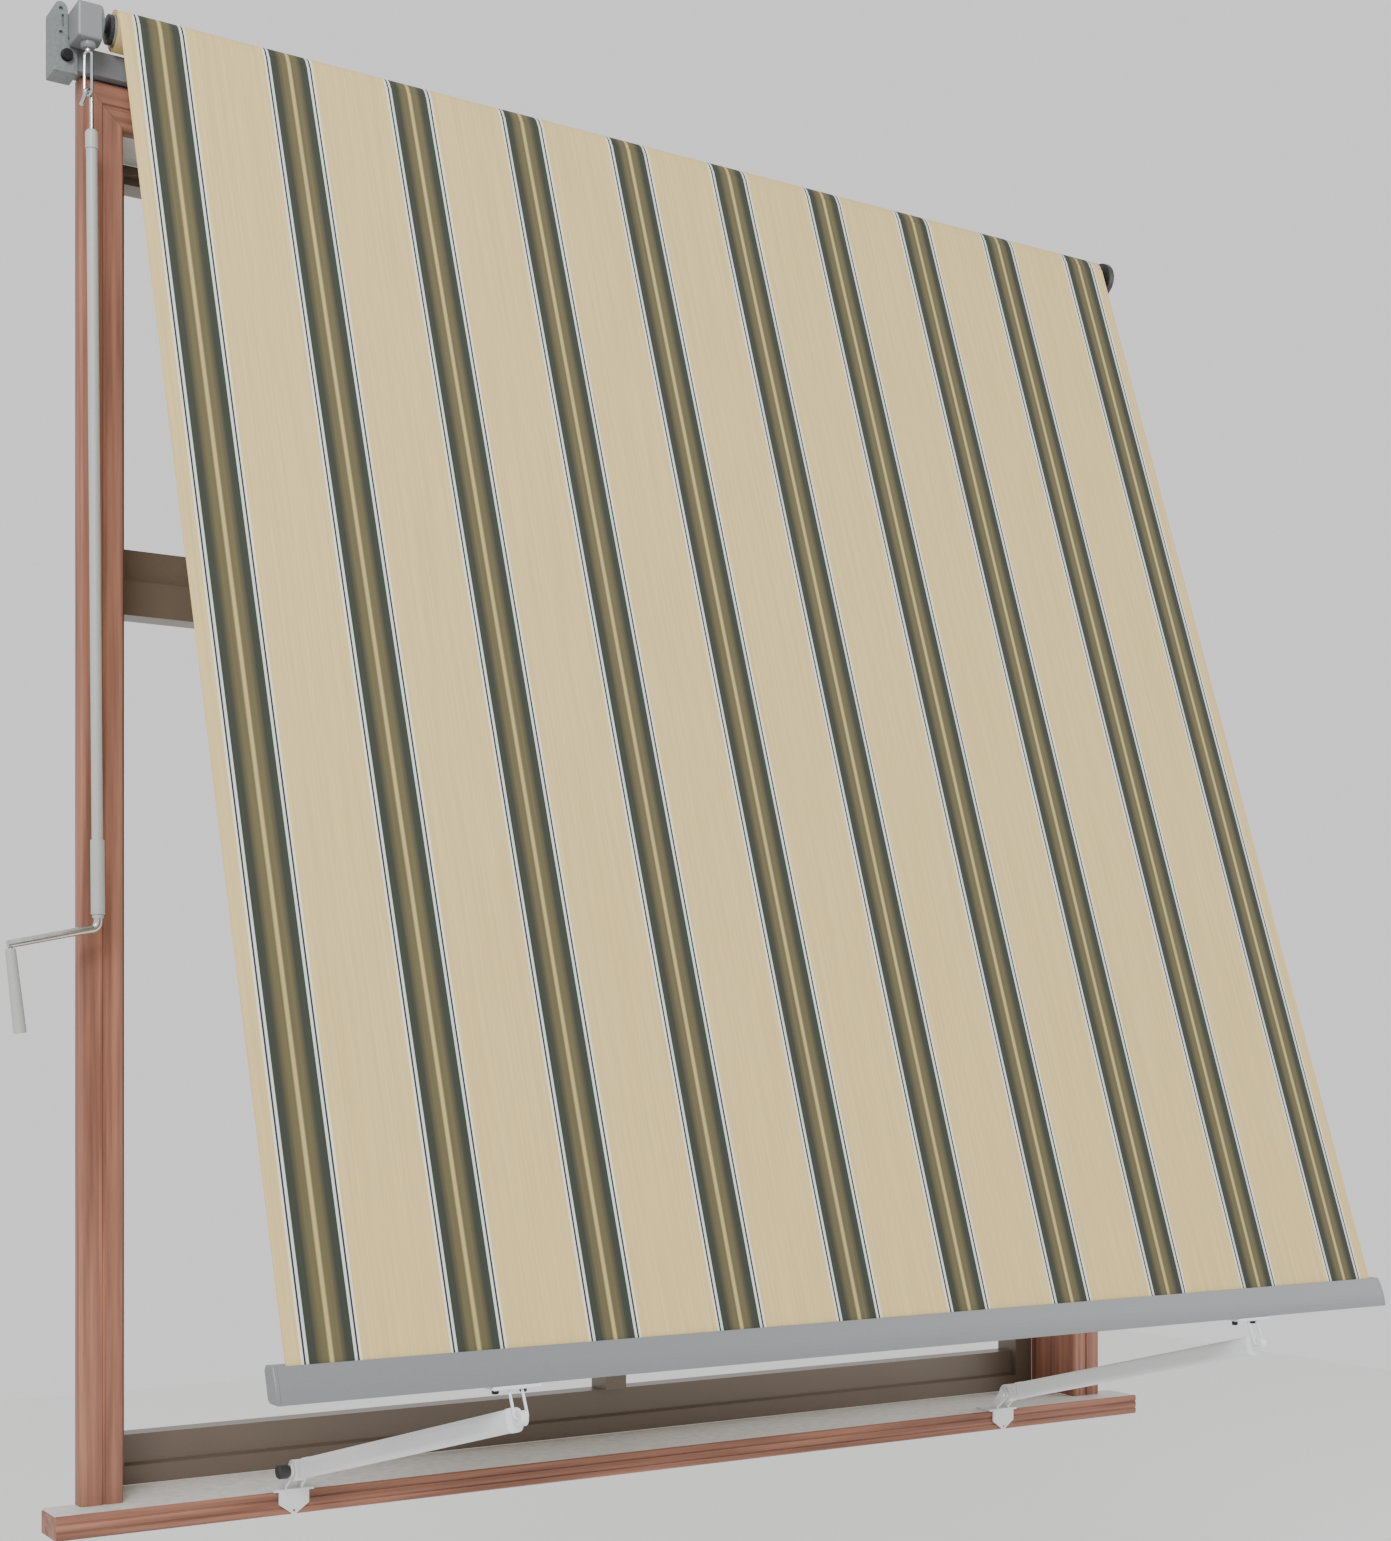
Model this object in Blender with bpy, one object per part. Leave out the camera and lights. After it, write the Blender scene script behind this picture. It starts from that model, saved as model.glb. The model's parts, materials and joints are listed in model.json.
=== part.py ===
"""A drop-arm window awning on its timber window surround.

Metres, +Z up. X runs along the window, -Y points away from the wall, and the wall
is the plane Y = 0. The origin is the middle of the sill board's wall face.
"""
import math

import bmesh
import bpy
from mathutils import Matrix, Vector

# ---- driving dimensions -------------------------------------------------------
GAP = 0.0003                    # running gap between pieces that touch

# timber surround
CASING_HALF = 1.1245            # outer edge of the side casings
CASING_WIDTH = 0.072
CASING_THICK = 0.030
CASING_TOP = 2.3815
SILL_TOP = 0.020
SILL_HALF = 1.180
SILL_FRONT = -0.086
SILL_BOARD_THICK = 0.0032
REVEAL_DEPTH = 0.112            # from the wall face back to the window frame
LINING_THICK = 0.018
FRAME_DEPTH = 0.060
FRAME_WIDTH = 0.046
MULLION_X = -0.020
TRANSOM_BOTTOM = 1.530
TRANSOM_STEP = 1.590
TRANSOM_TOP = 1.646

# square support bar and roller
BAR_SIDE = 0.040
BAR_WALL = 0.003
BAR_BACK = -0.004
BAR_BOTTOM = 2.3825
BAR_LEFT = -1.1665
BAR_RIGHT = 1.1085
ROLLER_Y = -0.0554
ROLLER_Z = 2.4568
ROLL_RADIUS = 0.033
TUBE_RADIUS = 0.025
FABRIC_HALF = 1.0775
SHAFT_RADIUS = 0.006

# fabric and front bar
FABRIC_THICK = 0.0016
FABRIC_END = Vector((0.0, -0.8153, 0.346))
FRONT_BAR_HALF = 1.0985
FRONT_BAR_FACE = -0.8213
FRONT_BAR_HEIGHT = 0.0505
FRONT_BAR_DEPTH = 0.033
SLOT_WIDTH = 0.0034
SLOT_DEPTH = 0.010

# drop arms, as the lower pivot and the upper pivot of each
ARM_PIVOT_Y = -0.109
ARM_PIVOT_Z = 0.0596
ARM_END_Y = -0.853
ARM_END_Z = 0.2496
ARMS = {"left": (-0.775, -0.737), "right": (0.800, 0.748)}
ARM_TALL = 0.034
ARM_WIDE = 0.026

# gear, eye and crank
EYE_X = -1.128
EYE_Y = -0.085
EYE_SEAT_Z = 2.3285             # centre of the eye's wire at its lowest point
EYE_TURN = math.radians(35)     # the hook's plane, turned from the window's plane
EYE_WIRE = 0.0025
HOOK_WIRE = 0.0035
HOOK_RADIUS = 0.008
CRANK_TUBE_TOP = 2.243
CRANK_TUBE_END = 0.990
CRANK_LEAN = 0.0110             # how far the crank's foot hangs to the right of its hook

COLOURS = {
    "timber": ((0.27, 0.13, 0.09), 0.6, 0.0),
    "pale_board": ((0.78, 0.77, 0.75), 0.5, 0.0),
    "bronze_frame": ((0.22, 0.18, 0.15), 0.45, 0.2),
    "grey_paint": ((0.27, 0.29, 0.31), 0.45, 0.1),
    "grey_casting": ((0.33, 0.36, 0.36), 0.5, 0.3),
    "white_paint": ((0.80, 0.81, 0.83), 0.35, 0.0),
    "bright_steel": ((0.55, 0.56, 0.58), 0.25, 1.0),
    "dark_plastic": ((0.03, 0.03, 0.035), 0.5, 0.0),
    "pale_plastic": ((0.52, 0.54, 0.52), 0.5, 0.0),
    "canvas": ((0.62, 0.56, 0.40), 0.9, 0.0),
}


# ---- helpers ------------------------------------------------------------------
def clear_scene():
    for item in list(bpy.data.objects):
        bpy.data.objects.remove(item)


def material(name):
    found = bpy.data.materials.get(name)
    if found:
        return found
    colour, roughness, metallic = COLOURS[name]
    made = bpy.data.materials.new(name)
    made.use_nodes = True
    shader = made.node_tree.nodes["Principled BSDF"]
    shader.inputs["Base Color"].default_value = (*colour, 1.0)
    shader.inputs["Roughness"].default_value = roughness
    shader.inputs["Metallic"].default_value = metallic
    made.diffuse_color = (*colour, 1.0)
    return made


def finish(name, mesh_data, finish_name, pivot=None):
    """Makes the object from a bmesh, its faces turned outwards, its origin on its pivot."""
    bmesh.ops.recalc_face_normals(mesh_data, faces=mesh_data.faces)
    mesh = bpy.data.meshes.new(name)
    mesh_data.to_mesh(mesh)
    mesh_data.free()
    made = bpy.data.objects.new(name, mesh)
    if pivot is not None:
        mesh.transform(Matrix.Translation(-Vector(pivot)))
        made.location = pivot
    mesh.shade_smooth()
    mesh.set_sharp_from_angle(angle=math.radians(35))
    mesh.materials.append(material(finish_name))
    bpy.context.scene.collection.objects.link(made)
    return made


def add_loft(mesh_data, rings, closed=False):
    """Skins rings of points into one closed solid; closed joins the last ring to the first."""
    layers = [[mesh_data.verts.new(point) for point in ring] for ring in rings]
    count = len(rings[0])
    pairs = list(zip(layers, layers[1:]))
    if closed:
        pairs.append((layers[-1], layers[0]))
    for lower, upper in pairs:
        for i in range(count):
            j = (i + 1) % count
            mesh_data.faces.new((lower[i], lower[j], upper[j], upper[i]))
    if not closed:
        mesh_data.faces.new(list(reversed(layers[0])))
        mesh_data.faces.new(layers[-1])


def loft(name, rings, finish_name, pivot=None):
    mesh_data = bmesh.new()
    add_loft(mesh_data, rings)
    return finish(name, mesh_data, finish_name, pivot)


def hollow_loft(name, outer, inner, finish_name, pivot=None):
    """A tube: two outer rings and two inner rings, joined at both ends."""
    mesh_data = bmesh.new()
    layers = [[mesh_data.verts.new(p) for p in ring] for ring in (*outer, *reversed(inner))]
    count = len(outer[0])
    for lower, upper in zip(layers, layers[1:] + layers[:1]):
        for i in range(count):
            j = (i + 1) % count
            mesh_data.faces.new((lower[i], lower[j], upper[j], upper[i]))
    return finish(name, mesh_data, finish_name, pivot)


def along_x(outline, x):
    """A ring of (y, z) points placed at one x."""
    return [Vector((x, y, z)) for y, z in outline]


def rectangle(low_y, high_y, low_z, high_z):
    return [(low_y, low_z), (high_y, low_z), (high_y, high_z), (low_y, high_z)]


def box(name, low, high, finish_name, pivot=None):
    outline = rectangle(low[1], high[1], low[2], high[2])
    return loft(name, [along_x(outline, low[0]), along_x(outline, high[0])], finish_name, pivot)


def circle(centre, across, up, radius, count):
    """A ring of points about centre in the plane of two unit vectors."""
    turns = [2 * math.pi * i / count for i in range(count)]
    return [centre + radius * (math.cos(t) * across + math.sin(t) * up) for t in turns]


def side_vectors(direction):
    """Two unit vectors square to a direction and to each other."""
    direction = direction.normalized()
    helper = Vector((0, 0, 1)) if abs(direction.z) < 0.9 else Vector((1, 0, 0))
    across = direction.cross(helper).normalized()
    return across, direction.cross(across).normalized()


def add_turned(mesh_data, start, direction, profile, count):
    """A turned solid: profile is (distance along, radius) pairs with a face at each end."""
    direction = direction.normalized()
    across, up = side_vectors(direction)
    rings = [circle(start + d * direction, across, up, r, count) for d, r in profile]
    add_loft(mesh_data, rings)


def turned(name, start, direction, profile, finish_name, count=24, pivot=None):
    mesh_data = bmesh.new()
    add_turned(mesh_data, Vector(start), Vector(direction), profile, count)
    return finish(name, mesh_data, finish_name, pivot)


def add_wire(mesh_data, points, radius, sides, closed=False):
    """A round wire along points, its section carried along without twist."""
    points = [Vector(p) for p in points]
    last = len(points) - 1
    tangents = []
    for i, point in enumerate(points):
        before = points[i - 1] if (i or closed) else point
        after = points[(i + 1) % len(points)] if (i < last or closed) else point
        tangents.append((after - before).normalized())
    across, _ = side_vectors(tangents[0])
    rings = []
    for point, tangent in zip(points, tangents):
        across = (across - across.dot(tangent) * tangent).normalized()
        rings.append(circle(point, across, tangent.cross(across), radius, sides))
    add_loft(mesh_data, rings, closed)


def wire(name, points, radius, finish_name, sides=10, closed=False, pivot=None):
    mesh_data = bmesh.new()
    add_wire(mesh_data, points, radius, sides, closed)
    return finish(name, mesh_data, finish_name, pivot)


def arc(centre, across, up, radius, first, last, steps):
    """Points on an arc, angles in degrees from across towards up."""
    angles = [math.radians(first + (last - first) * i / steps) for i in range(steps + 1)]
    return [centre + radius * (math.cos(a) * across + math.sin(a) * up) for a in angles]


def cut(target, cutter):
    """Takes a guide solid out of a piece, and keeps the guide out of the model."""
    cutter.hide_render = True
    cutter.display_type = "WIRE"
    step = target.modifiers.new("cut_" + cutter.name, "BOOLEAN")
    step.operation = "DIFFERENCE"
    step.solver = "EXACT"
    step.object = cutter


def join(target, other):
    """Unites a guide solid with a piece."""
    other.hide_render = True
    other.display_type = "WIRE"
    step = target.modifiers.new("join_" + other.name, "BOOLEAN")
    step.operation = "UNION"
    step.solver = "EXACT"
    step.object = other


def soften(target, width, segments=2, limit=40):
    step = target.modifiers.new("edges", "BEVEL")
    step.width = width
    step.segments = segments
    step.limit_method = "ANGLE"
    step.angle_limit = math.radians(limit)


# ---- timber surround and window frame -------------------------------------------
CASING_PROFILE = (
    (0.0, 0.0), (0.0, -0.026), (0.004, -0.030), (0.036, -0.030), (0.038, -0.027),
    (0.042, -0.027), (0.044, -0.030), (0.069, -0.030), (0.072, -0.027), (0.072, 0.0),
)


def make_casings():
    """Three mitred boards with a groove along the middle of the face."""
    foot = SILL_TOP + GAP
    for side, sign in (("left", -1), ("right", 1)):
        low = [Vector((sign * (CASING_HALF - w), y, foot)) for w, y in CASING_PROFILE]
        high = [
            Vector((sign * (CASING_HALF - w), y, CASING_TOP - w - 2 * GAP))
            for w, y in CASING_PROFILE
        ]
        loft("casing_" + side, [low, high], "timber")
    ends = [
        [Vector((sign * (CASING_HALF - w), y, CASING_TOP - w)) for w, y in CASING_PROFILE]
        for sign in (-1, 1)
    ]
    loft("casing_head", ends, "timber")


def make_sill():
    """A grooved nosing fixed to the wall, and a pale board laid in it and into the reveal."""
    bed = SILL_TOP - SILL_BOARD_THICK - GAP
    lip = SILL_FRONT + 0.005
    bottom = -SILL_TOP
    groove = 0.0018
    nosing = [(0.0, bottom), (SILL_FRONT + 0.003, bottom), (SILL_FRONT, bottom + 0.003)]
    for middle in (-0.007, 0.007):
        nosing += [
            (SILL_FRONT, middle - 0.002), (SILL_FRONT + groove, middle - 0.001),
            (SILL_FRONT + groove, middle + 0.001), (SILL_FRONT, middle + 0.002),
        ]
    nosing += [(SILL_FRONT, SILL_TOP - 0.002), (SILL_FRONT + 0.002, SILL_TOP)]
    nosing += [(lip, SILL_TOP), (lip, bed), (0.0, bed)]
    loft("sill_nosing", [along_x(nosing, -SILL_HALF), along_x(nosing, SILL_HALF)], "timber")
    end = SILL_HALF - 0.002
    inner = CASING_HALF - CASING_WIDTH - 2 * GAP
    front = lip + GAP
    back = REVEAL_DEPTH - GAP
    plan = [
        (-end, front), (end, front), (end, -GAP), (inner, -GAP),
        (inner, back), (-inner, back), (-inner, -GAP), (-end, -GAP),
    ]
    rings = [[Vector((x, y, z)) for x, y in plan] for z in (bed + GAP, SILL_TOP)]
    loft("sill_board", rings, "pale_board")


def make_linings():
    """The reveal's boards, behind the casings."""
    face = CASING_HALF - CASING_WIDTH
    top = CASING_TOP - CASING_WIDTH
    for side, sign in (("left", -1), ("right", 1)):
        edges = sorted((sign * face, sign * (face + LINING_THICK)))
        low = (edges[0], GAP, SILL_TOP + GAP)
        high = (edges[1], REVEAL_DEPTH - GAP, top)
        box("lining_" + side, low, high, "timber")
    low = (-face - LINING_THICK, GAP, top + GAP)
    high = (face + LINING_THICK, REVEAL_DEPTH - GAP, top + LINING_THICK)
    box("lining_head", low, high, "pale_board")


def make_window_frame():
    """Bronze frame bars round two lights, with the panes left out."""
    outer = CASING_HALF - CASING_WIDTH
    inner = outer - FRAME_WIDTH
    front = REVEAL_DEPTH
    back = REVEAL_DEPTH + FRAME_DEPTH
    foot = SILL_TOP + GAP
    rail_step = SILL_TOP + 0.037
    rail_top = SILL_TOP + 0.085
    head_top = CASING_TOP - CASING_WIDTH
    head_bottom = head_top - 0.030
    for side, sign in (("left", -1), ("right", 1)):
        edges = sorted((sign * inner, sign * outer))
        box("frame_" + side, (edges[0], front, foot), (edges[1], back, head_top), "bronze_frame")
    span = inner - GAP
    rail = [
        (front, foot), (back, foot), (back, rail_top), (front + 0.016, rail_top),
        (front + 0.013, rail_step), (front, rail_step - 0.004),
    ]
    loft("frame_bottom", [along_x(rail, -span), along_x(rail, span)], "bronze_frame")
    head = [
        (front, head_top), (back, head_top), (back, head_bottom), (front + 0.010, head_bottom),
        (front + 0.010, head_bottom + 0.012), (front, head_bottom + 0.014),
    ]
    loft("frame_head", [along_x(head, -span), along_x(head, span)], "bronze_frame")
    half = FRAME_WIDTH / 2
    low = (MULLION_X - half, front + 0.002, rail_top + GAP)
    high = (MULLION_X + half, back, head_bottom - GAP)
    box("mullion", low, high, "bronze_frame")
    transom = [
        (front + 0.002, TRANSOM_BOTTOM), (back, TRANSOM_BOTTOM), (back, TRANSOM_TOP),
        (front + 0.014, TRANSOM_TOP), (front + 0.014, TRANSOM_STEP), (front + 0.002, TRANSOM_STEP),
    ]
    bays = {"left": (-span, MULLION_X - half - GAP), "right": (MULLION_X + half + GAP, span)}
    for side, (low_x, high_x) in bays.items():
        loft("transom_" + side, [along_x(transom, low_x), along_x(transom, high_x)], "bronze_frame")


# ---- square bar, brackets and gear ------------------------------------------------
def make_square_bar():
    front = BAR_BACK - BAR_SIDE
    top = BAR_BOTTOM + BAR_SIDE
    outline = rectangle(front, BAR_BACK, BAR_BOTTOM, top)
    hollow = rectangle(
        front + BAR_WALL, BAR_BACK - BAR_WALL, BAR_BOTTOM + BAR_WALL, top - BAR_WALL
    )
    hollow_loft(
        "square_bar",
        [along_x(outline, BAR_LEFT), along_x(outline, BAR_RIGHT)],
        [along_x(hollow, BAR_LEFT), along_x(hollow, BAR_RIGHT)],
        "grey_paint",
    )


def bar_socket(name, low_x, high_x, low_z=BAR_BOTTOM - GAP):
    """A guide block a little larger than the square bar."""
    front = BAR_BACK - BAR_SIDE - GAP
    low = (low_x, front, low_z)
    high = (high_x, BAR_BACK + GAP, BAR_BOTTOM + BAR_SIDE + GAP)
    return box(name, low, high, "grey_casting")


BRACKET_FRONT = BAR_BACK - BAR_SIDE - 0.0058
BRACKET_LEFT = -1.173
BRACKET_STEP = -1.1505
BRACKET_RIGHT = -1.135
CLAMP = Vector((-1.1530, BRACKET_FRONT, 2.4000))


def make_left_bracket():
    """Cast end bracket: a square socket for the bar, and a domed lug beside the gear."""
    foot = BAR_BOTTOM - 0.009
    step = BAR_BOTTOM + BAR_SIDE + 0.0045
    shoulder = 2.474
    middle = (BRACKET_LEFT + BRACKET_STEP) / 2
    half = (BRACKET_STEP - BRACKET_LEFT) / 2
    outline = [
        (BRACKET_LEFT, foot), (BRACKET_RIGHT, foot), (BRACKET_RIGHT, step), (BRACKET_STEP, step),
    ]
    for i in range(9):
        turn = math.pi * i / 8
        outline.append((middle + half * math.cos(turn), shoulder + 0.013 * math.sin(turn)))
    rings = [[Vector((x, y, z)) for x, z in outline] for y in (BRACKET_FRONT, -GAP)]
    bracket = loft("bracket_left", rings, "grey_casting")
    cut(bracket, bar_socket("socket_left", BAR_LEFT - GAP, BRACKET_RIGHT + 0.01))
    forward = Vector((0, -1, 0))
    hole = turned(
        "clamp_hole", CLAMP - forward * 0.02, forward, [(0, 0.0053), (0.03, 0.0053)],
        "grey_casting", 20,
    )
    cut(bracket, hole)
    for index, height in enumerate((2.475, 2.436)):
        start = Vector((-1.1620, BRACKET_FRONT + 0.004, height))
        dimple = turned(
            f"screw_seat_{index}", start, forward, [(0, 0.0034), (0.01, 0.0034)], "grey_casting", 16
        )
        cut(bracket, dimple)
    slot = box(
        "slot_guide", (-1.1608, BRACKET_FRONT - 0.01, 2.446),
        (-1.1572, BRACKET_FRONT + 0.004, 2.466), "grey_casting",
    )
    cut(bracket, slot)


def make_clamp_bolt(name, seat):
    """Washer, hex head and shank as one screw that bears on the bar's face."""
    forward = Vector((0, -1, 0))
    shank_end = -(0.0058 - 2 * GAP)
    bolt = turned(
        name, seat + forward * GAP, forward,
        [(shank_end, 0.0048), (0.0, 0.0048), (0.0, 0.0100), (0.0022, 0.0100),
         (0.0022, 0.0088), (0.0085, 0.0088), (0.0092, 0.0078)],
        "dark_plastic", 24,
    )
    return bolt


def roller_disc_outline(radius):
    """The right bracket's side view: a round head at the roller and two legs down the bar."""
    foot = BAR_BOTTOM
    outline = [(-GAP, foot), (BRACKET_FRONT, foot), (BRACKET_FRONT, foot + 0.020)]
    for i in range(19):
        turn = math.radians(235 - 195 * i / 18)
        outline.append((ROLLER_Y + radius * math.cos(turn), ROLLER_Z + radius * math.sin(turn)))
    outline.append((-GAP, ROLLER_Z + 0.004))
    return outline


def make_right_bracket():
    outline = roller_disc_outline(0.036)
    low_x, high_x = 1.0985, 1.1125
    bracket = loft(
        "bracket_right", [along_x(outline, low_x), along_x(outline, high_x)], "dark_plastic"
    )
    soften(bracket, 0.002, 2, 30)
    cut(bracket, bar_socket("socket_right", low_x - 0.01, BAR_RIGHT + GAP, BAR_BOTTOM - 0.02))
    bore = turned(
        "pin_bore", (low_x - 0.01, ROLLER_Y, ROLLER_Z), (1, 0, 0),
        [(0, SHAFT_RADIUS + GAP), (0.0205, SHAFT_RADIUS + GAP)], "dark_plastic", 20,
    )
    cut(bracket, bore)


GEAR_LEFT = BRACKET_STEP + 0.0006
GEAR_RIGHT = -1.1100
GEAR_FRONT = -0.105
GEAR_BACK = -0.024
GEAR_TOP = 2.4715
GEAR_BOTTOM = 2.414
NECK_END = 2.404


def make_gear_housing():
    """Worm gear casing with a round neck for the eye and a bore for the roller's shaft."""
    clear = BRACKET_FRONT - 0.0012
    ledge = BAR_BOTTOM + BAR_SIDE + 0.0056
    outline = [
        (GEAR_FRONT, GEAR_BOTTOM), (clear, GEAR_BOTTOM), (clear, ledge), (GEAR_BACK, ledge),
        (GEAR_BACK, GEAR_TOP - 0.006), (GEAR_BACK - 0.008, GEAR_TOP), (GEAR_FRONT, GEAR_TOP),
    ]
    housing = loft(
        "gear_housing", [along_x(outline, GEAR_LEFT), along_x(outline, GEAR_RIGHT)], "grey_paint"
    )
    soften(housing, 0.0035, 2, 40)
    neck = turned(
        "neck_guide", (EYE_X, EYE_Y, NECK_END), (0, 0, 1),
        [(0, 0.0100), (0.003, 0.0125), (0.016, 0.0125)], "grey_paint", 24,
    )
    join(housing, neck)
    bore = turned(
        "eye_bore", (EYE_X, EYE_Y, NECK_END - 0.01), (0, 0, 1), [(0, 0.0051), (0.036, 0.0051)],
        "grey_paint", 20,
    )
    cut(housing, bore)
    drive = turned(
        "drive_bore", (GEAR_RIGHT + 0.01, ROLLER_Y, ROLLER_Z), (-1, 0, 0),
        [(0, SHAFT_RADIUS + GAP), (0.036, SHAFT_RADIUS + GAP)], "grey_paint", 20,
    )
    cut(housing, drive)


def make_roller_plate():
    """Round bearing plate between the gear and the roller."""
    start = GEAR_RIGHT + 0.0004
    plate = turned(
        "roller_plate", (start, ROLLER_Y, ROLLER_Z), (1, 0, 0),
        [(0, 0.0300), (0.004, 0.0330), (0.008, 0.0330), (0.0105, 0.0265)], "grey_casting", 32,
    )
    bore = turned(
        "plate_bore", (start - 0.01, ROLLER_Y, ROLLER_Z), (1, 0, 0),
        [(0, SHAFT_RADIUS + GAP), (0.04, SHAFT_RADIUS + GAP)], "grey_casting", 20,
    )
    cut(plate, bore)


# ---- roller and fabric --------------------------------------------------------------
def make_roller():
    """Tube, the turns of fabric left on it, and the plug at each end."""
    axis = Vector((0, ROLLER_Y, ROLLER_Z))
    x_axis = Vector((1, 0, 0))
    across, up = Vector((0, 1, 0)), Vector((0, 0, 1))

    def sleeve(name, half, outer, inner, finish_name, count):
        ends = [axis - half * x_axis, axis + half * x_axis]
        hollow_loft(
            name, [circle(e, across, up, outer, count) for e in ends],
            [circle(e, across, up, inner, count) for e in ends], finish_name, axis,
        )

    sleeve("roller_tube", FABRIC_HALF + 0.004, TUBE_RADIUS, TUBE_RADIUS - 0.0015, "bright_steel", 28)
    sleeve("fabric_roll", FABRIC_HALF, ROLL_RADIUS, TUBE_RADIUS + 0.0006, "canvas", 40)
    plug = TUBE_RADIUS - 0.0021
    lip = FABRIC_HALF + 0.0046
    for side, sign, reach in (("left", -1, 1.131), ("right", 1, 1.1065)):
        inside = FABRIC_HALF - 0.035
        shoulder = lip - inside
        profile = [
            (0, plug), (shoulder, plug), (shoulder, TUBE_RADIUS - 0.001),
            (shoulder + 0.006, TUBE_RADIUS - 0.001), (shoulder + 0.008, 0.012),
            (shoulder + 0.0085, SHAFT_RADIUS), (reach - inside, SHAFT_RADIUS),
        ]
        turned(
            "roller_plug_" + side, axis + sign * inside * x_axis, sign * x_axis, profile,
            "dark_plastic", 24, axis,
        )


def fabric_tangent():
    """Where the hanging fabric leaves the roll, and the fabric's direction and normal."""
    centre = Vector((0, ROLLER_Y, ROLLER_Z))
    reach = FABRIC_END - centre
    length = reach.length
    lean = math.atan2(reach.y, reach.z) + math.acos(ROLL_RADIUS / length)
    normal = Vector((0, math.sin(lean), math.cos(lean)))
    if normal.y > 0:
        lean = math.atan2(reach.y, reach.z) - math.acos(ROLL_RADIUS / length)
        normal = Vector((0, math.sin(lean), math.cos(lean)))
    leave = centre + ROLL_RADIUS * normal
    return leave, (FABRIC_END - leave).normalized(), normal


def make_fabric():
    """The stretched sheet, from the roll down into the front bar's slot."""
    leave, down, normal = fabric_tangent()
    start = leave + 0.004 * down + 0.0008 * normal
    stop = FABRIC_END + 0.0008 * normal + 0.005 * down
    half = FABRIC_THICK / 2
    low = [start - half * normal, start + half * normal, stop + half * normal, stop - half * normal]
    rings = [[p + Vector((x, 0, 0)) for p in low] for x in (-FABRIC_HALF, FABRIC_HALF)]
    loft("fabric", rings, "canvas", Vector((0, ROLLER_Y, ROLLER_Z)))


# ---- front bar and its clips ----------------------------------------------------------
def front_bar_outline(slotted):
    """Side view with a gently bowed face and a slot in the top, leaning with the fabric."""
    top = FABRIC_END.z
    bottom = top - FRONT_BAR_HEIGHT
    back = FRONT_BAR_FACE + FRONT_BAR_DEPTH
    upright = []
    for i in range(9):
        rise = i / 8
        bow = 0.003 * math.sin(math.pi * rise)
        upright.append((FRONT_BAR_FACE - bow, bottom + rise * FRONT_BAR_HEIGHT))
    if slotted:
        slot = FABRIC_END.y
        wide = SLOT_WIDTH / 2 + 0.0008
        upright += [(slot - wide, top), (slot - wide, top - SLOT_DEPTH)]
        upright += [(slot + wide, top - SLOT_DEPTH), (slot + wide, top)]
    upright += [(back - 0.006, top), (back, top - 0.006), (back, bottom + 0.004)]
    upright += [(back - 0.004, bottom)]
    return lean_with_fabric(upright)


def lean_with_fabric(outline):
    """Slides each point outwards by the fabric's slope, measured from the bar's top."""
    _, down, _ = fabric_tangent()
    slope = down.y / down.z
    return [(y + slope * (z - FABRIC_END.z), z) for y, z in outline]


def make_front_bar():
    """A hollow extrusion closed by a cap at each end."""
    pivot = Vector((0, ARM_END_Y, ARM_END_Z))
    body = FRONT_BAR_HALF - 0.006
    outline = front_bar_outline(True)
    bar = loft("front_bar", [along_x(outline, -body), along_x(outline, body)], "grey_paint", pivot)
    wall = 0.0020
    top = FABRIC_END.z - SLOT_DEPTH - wall
    bottom = FABRIC_END.z - FRONT_BAR_HEIGHT + wall
    back = FRONT_BAR_FACE + FRONT_BAR_DEPTH - wall
    hollow = lean_with_fabric(rectangle(FRONT_BAR_FACE + wall, back, bottom, top))
    reach = body + 0.02
    cut(bar, loft("bar_hollow", [along_x(hollow, -reach), along_x(hollow, reach)], "grey_paint"))
    cap = front_bar_outline(False)
    middle_y = sum(y for y, _ in cap) / len(cap)
    middle_z = sum(z for _, z in cap) / len(cap)
    for side, sign in (("left", -1), ("right", 1)):
        rings = []
        for reach, shrink in ((body + GAP, 1), (FRONT_BAR_HALF - 0.0015, 1), (FRONT_BAR_HALF, 0.93)):
            ring = [
                (middle_y + (y - middle_y) * shrink, middle_z + (z - middle_z) * shrink)
                for y, z in cap
            ]
            rings.append(along_x(ring, sign * reach))
        loft("front_bar_cap_" + side, rings, "grey_paint", pivot)


CLIP_HALF = 0.0385
CLIP_THICK = 0.0055
CLIP_FRONT = -0.842
CLIP_BACK = -0.796
CLIP_BOLT_SPACING = 0.0225
SHACKLE_HALF = 0.0105
SHACKLE_WIRE = 0.0022


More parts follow.
